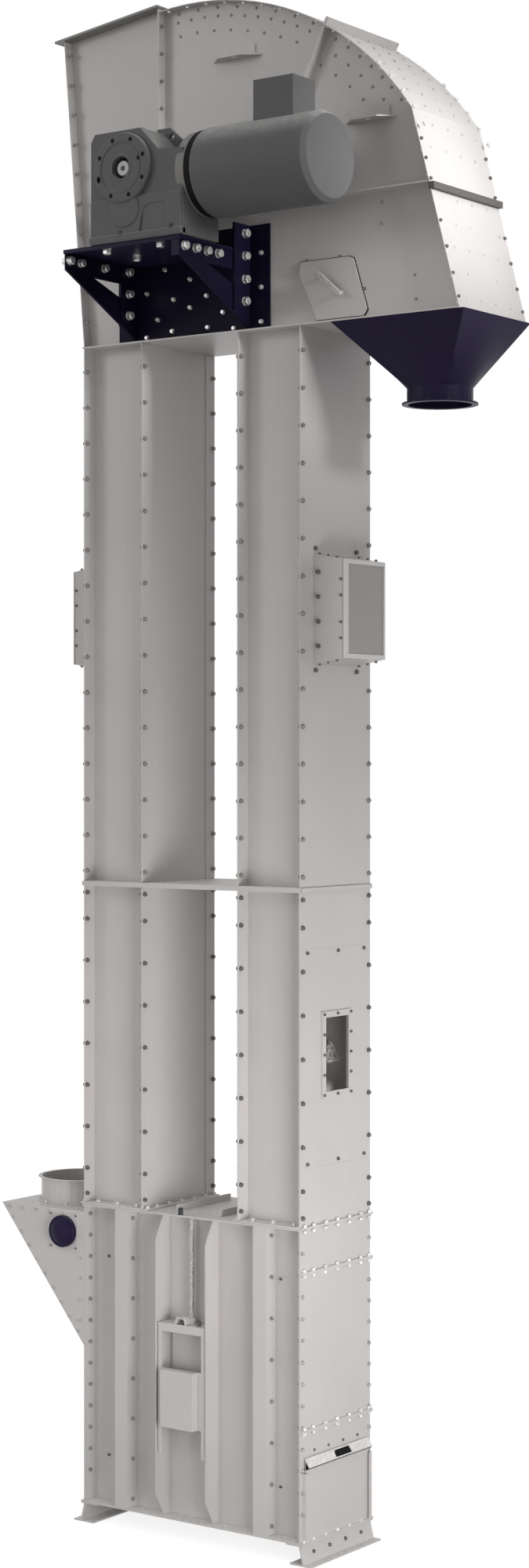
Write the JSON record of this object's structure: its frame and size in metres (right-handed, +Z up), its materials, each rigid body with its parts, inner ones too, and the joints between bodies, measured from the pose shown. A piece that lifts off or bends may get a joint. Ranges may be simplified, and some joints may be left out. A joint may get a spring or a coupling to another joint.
{
  "type": "bucket elevator",
  "caption": "Twin-leg bucket elevator with screw take-up boot, side inlet hopper, explosion vents, geared head drive and square-to-round discharge.",
  "frame": {"origin": "on the floor, under the middle of the machine's outline", "axes": "+Z up, +X from the up leg and its inlet to the down leg and the discharge, the drive on the -Y side"},
  "size_m": [2.0752, 0.8878, 5.62],
  "materials": {
    "casing_paint": "satin warm light grey powder coat",
    "navy_paint": "satin dark navy paint",
    "vent_panel_paint": "matt grey",
    "drive_paint": "semi-matt mid grey paint",
    "zinc_steel": "zinc plated",
    "belt_rubber": "matt black, with pressed steel buckets",
    "window_glass": "clear glazing"
  },
  "bodies": {
    "casing": {"left_foot": "casing_paint", "right_foot": "casing_paint", "boot_floor": "casing_paint", "boot_left_wall": "casing_paint", "boot_right_wall": "casing_paint", "boot_front_pan": "casing_paint", "boot_back_pan": "casing_paint", "boot_deck": "casing_paint", "inlet_hopper": "casing_paint", "inlet_spout": "casing_paint", "left_leg_lower": "casing_paint", "right_leg_lower": "casing_paint", "right_leg_bottom_sheet": "casing_paint", "service_panel": "casing_paint", "right_leg_top_sheet": "casing_paint", "leg_tie_plate": "casing_paint", "left_leg_upper": "casing_paint", "right_leg_upper": "casing_paint", "inspection_frame": "casing_paint", "left_vent_duct": "casing_paint", "right_vent_duct": "casing_paint", "head_floor": "casing_paint", "head_left_wall": "casing_paint", "head_roof": "casing_paint", "head_hood": "casing_paint", "chute_upper_skin": "casing_paint", "chute_lower_skin": "casing_paint", "head_front_feed_plate": "casing_paint", "head_back_feed_plate": "casing_paint", "head_front_hood_plate": "casing_paint", "head_back_hood_plate": "casing_paint", "head_front_chute_plate": "casing_paint", "head_back_chute_plate": "casing_paint", "inspection_door": "casing_paint", "level_sensor": "navy_paint", "discharge_hopper": "navy_paint", "discharge_collar": "navy_paint", "bracket_frame": "navy_paint", "bracket_platform": "navy_paint", "left_vent_panel": "vent_panel_paint", "right_vent_panel": "vent_panel_paint", "gear_unit": "drive_paint", "motor": "drive_paint", "terminal_box": "drive_paint", "take_up_screw_front": "zinc_steel", "take_up_screw_back": "zinc_steel", "bucket_belt": "belt_rubber", "inspection_glass": "window_glass"},
    "take_up": {"take_up_frame_front": "casing_paint", "take_up_frame_back": "casing_paint", "bearing_cover_front": "casing_paint", "bearing_cover_back": "casing_paint", "boot_pulley": "zinc_steel"},
    "gate": {"clean_out_gate": "casing_paint"},
    "head_rotor": {"head_pulley": "zinc_steel"}
  },
  "joints": [
    {"name": "take_up_slide", "type": "slide", "parent": "casing", "child": "take_up", "axis": [0, 0, 1], "range_m": [0, 0.12]},
    {"name": "clean_out_gate_slide", "type": "slide", "parent": "casing", "child": "gate", "axis": [0, 0, 1], "range_m": [0, 0.08]},
    {"name": "head_shaft_spin", "type": "hinge", "parent": "casing", "child": "head_rotor", "pos_m": [-0.13735, 0.1761, 4.94], "axis": [0, 1, 0], "continuous": true}
  ]
}
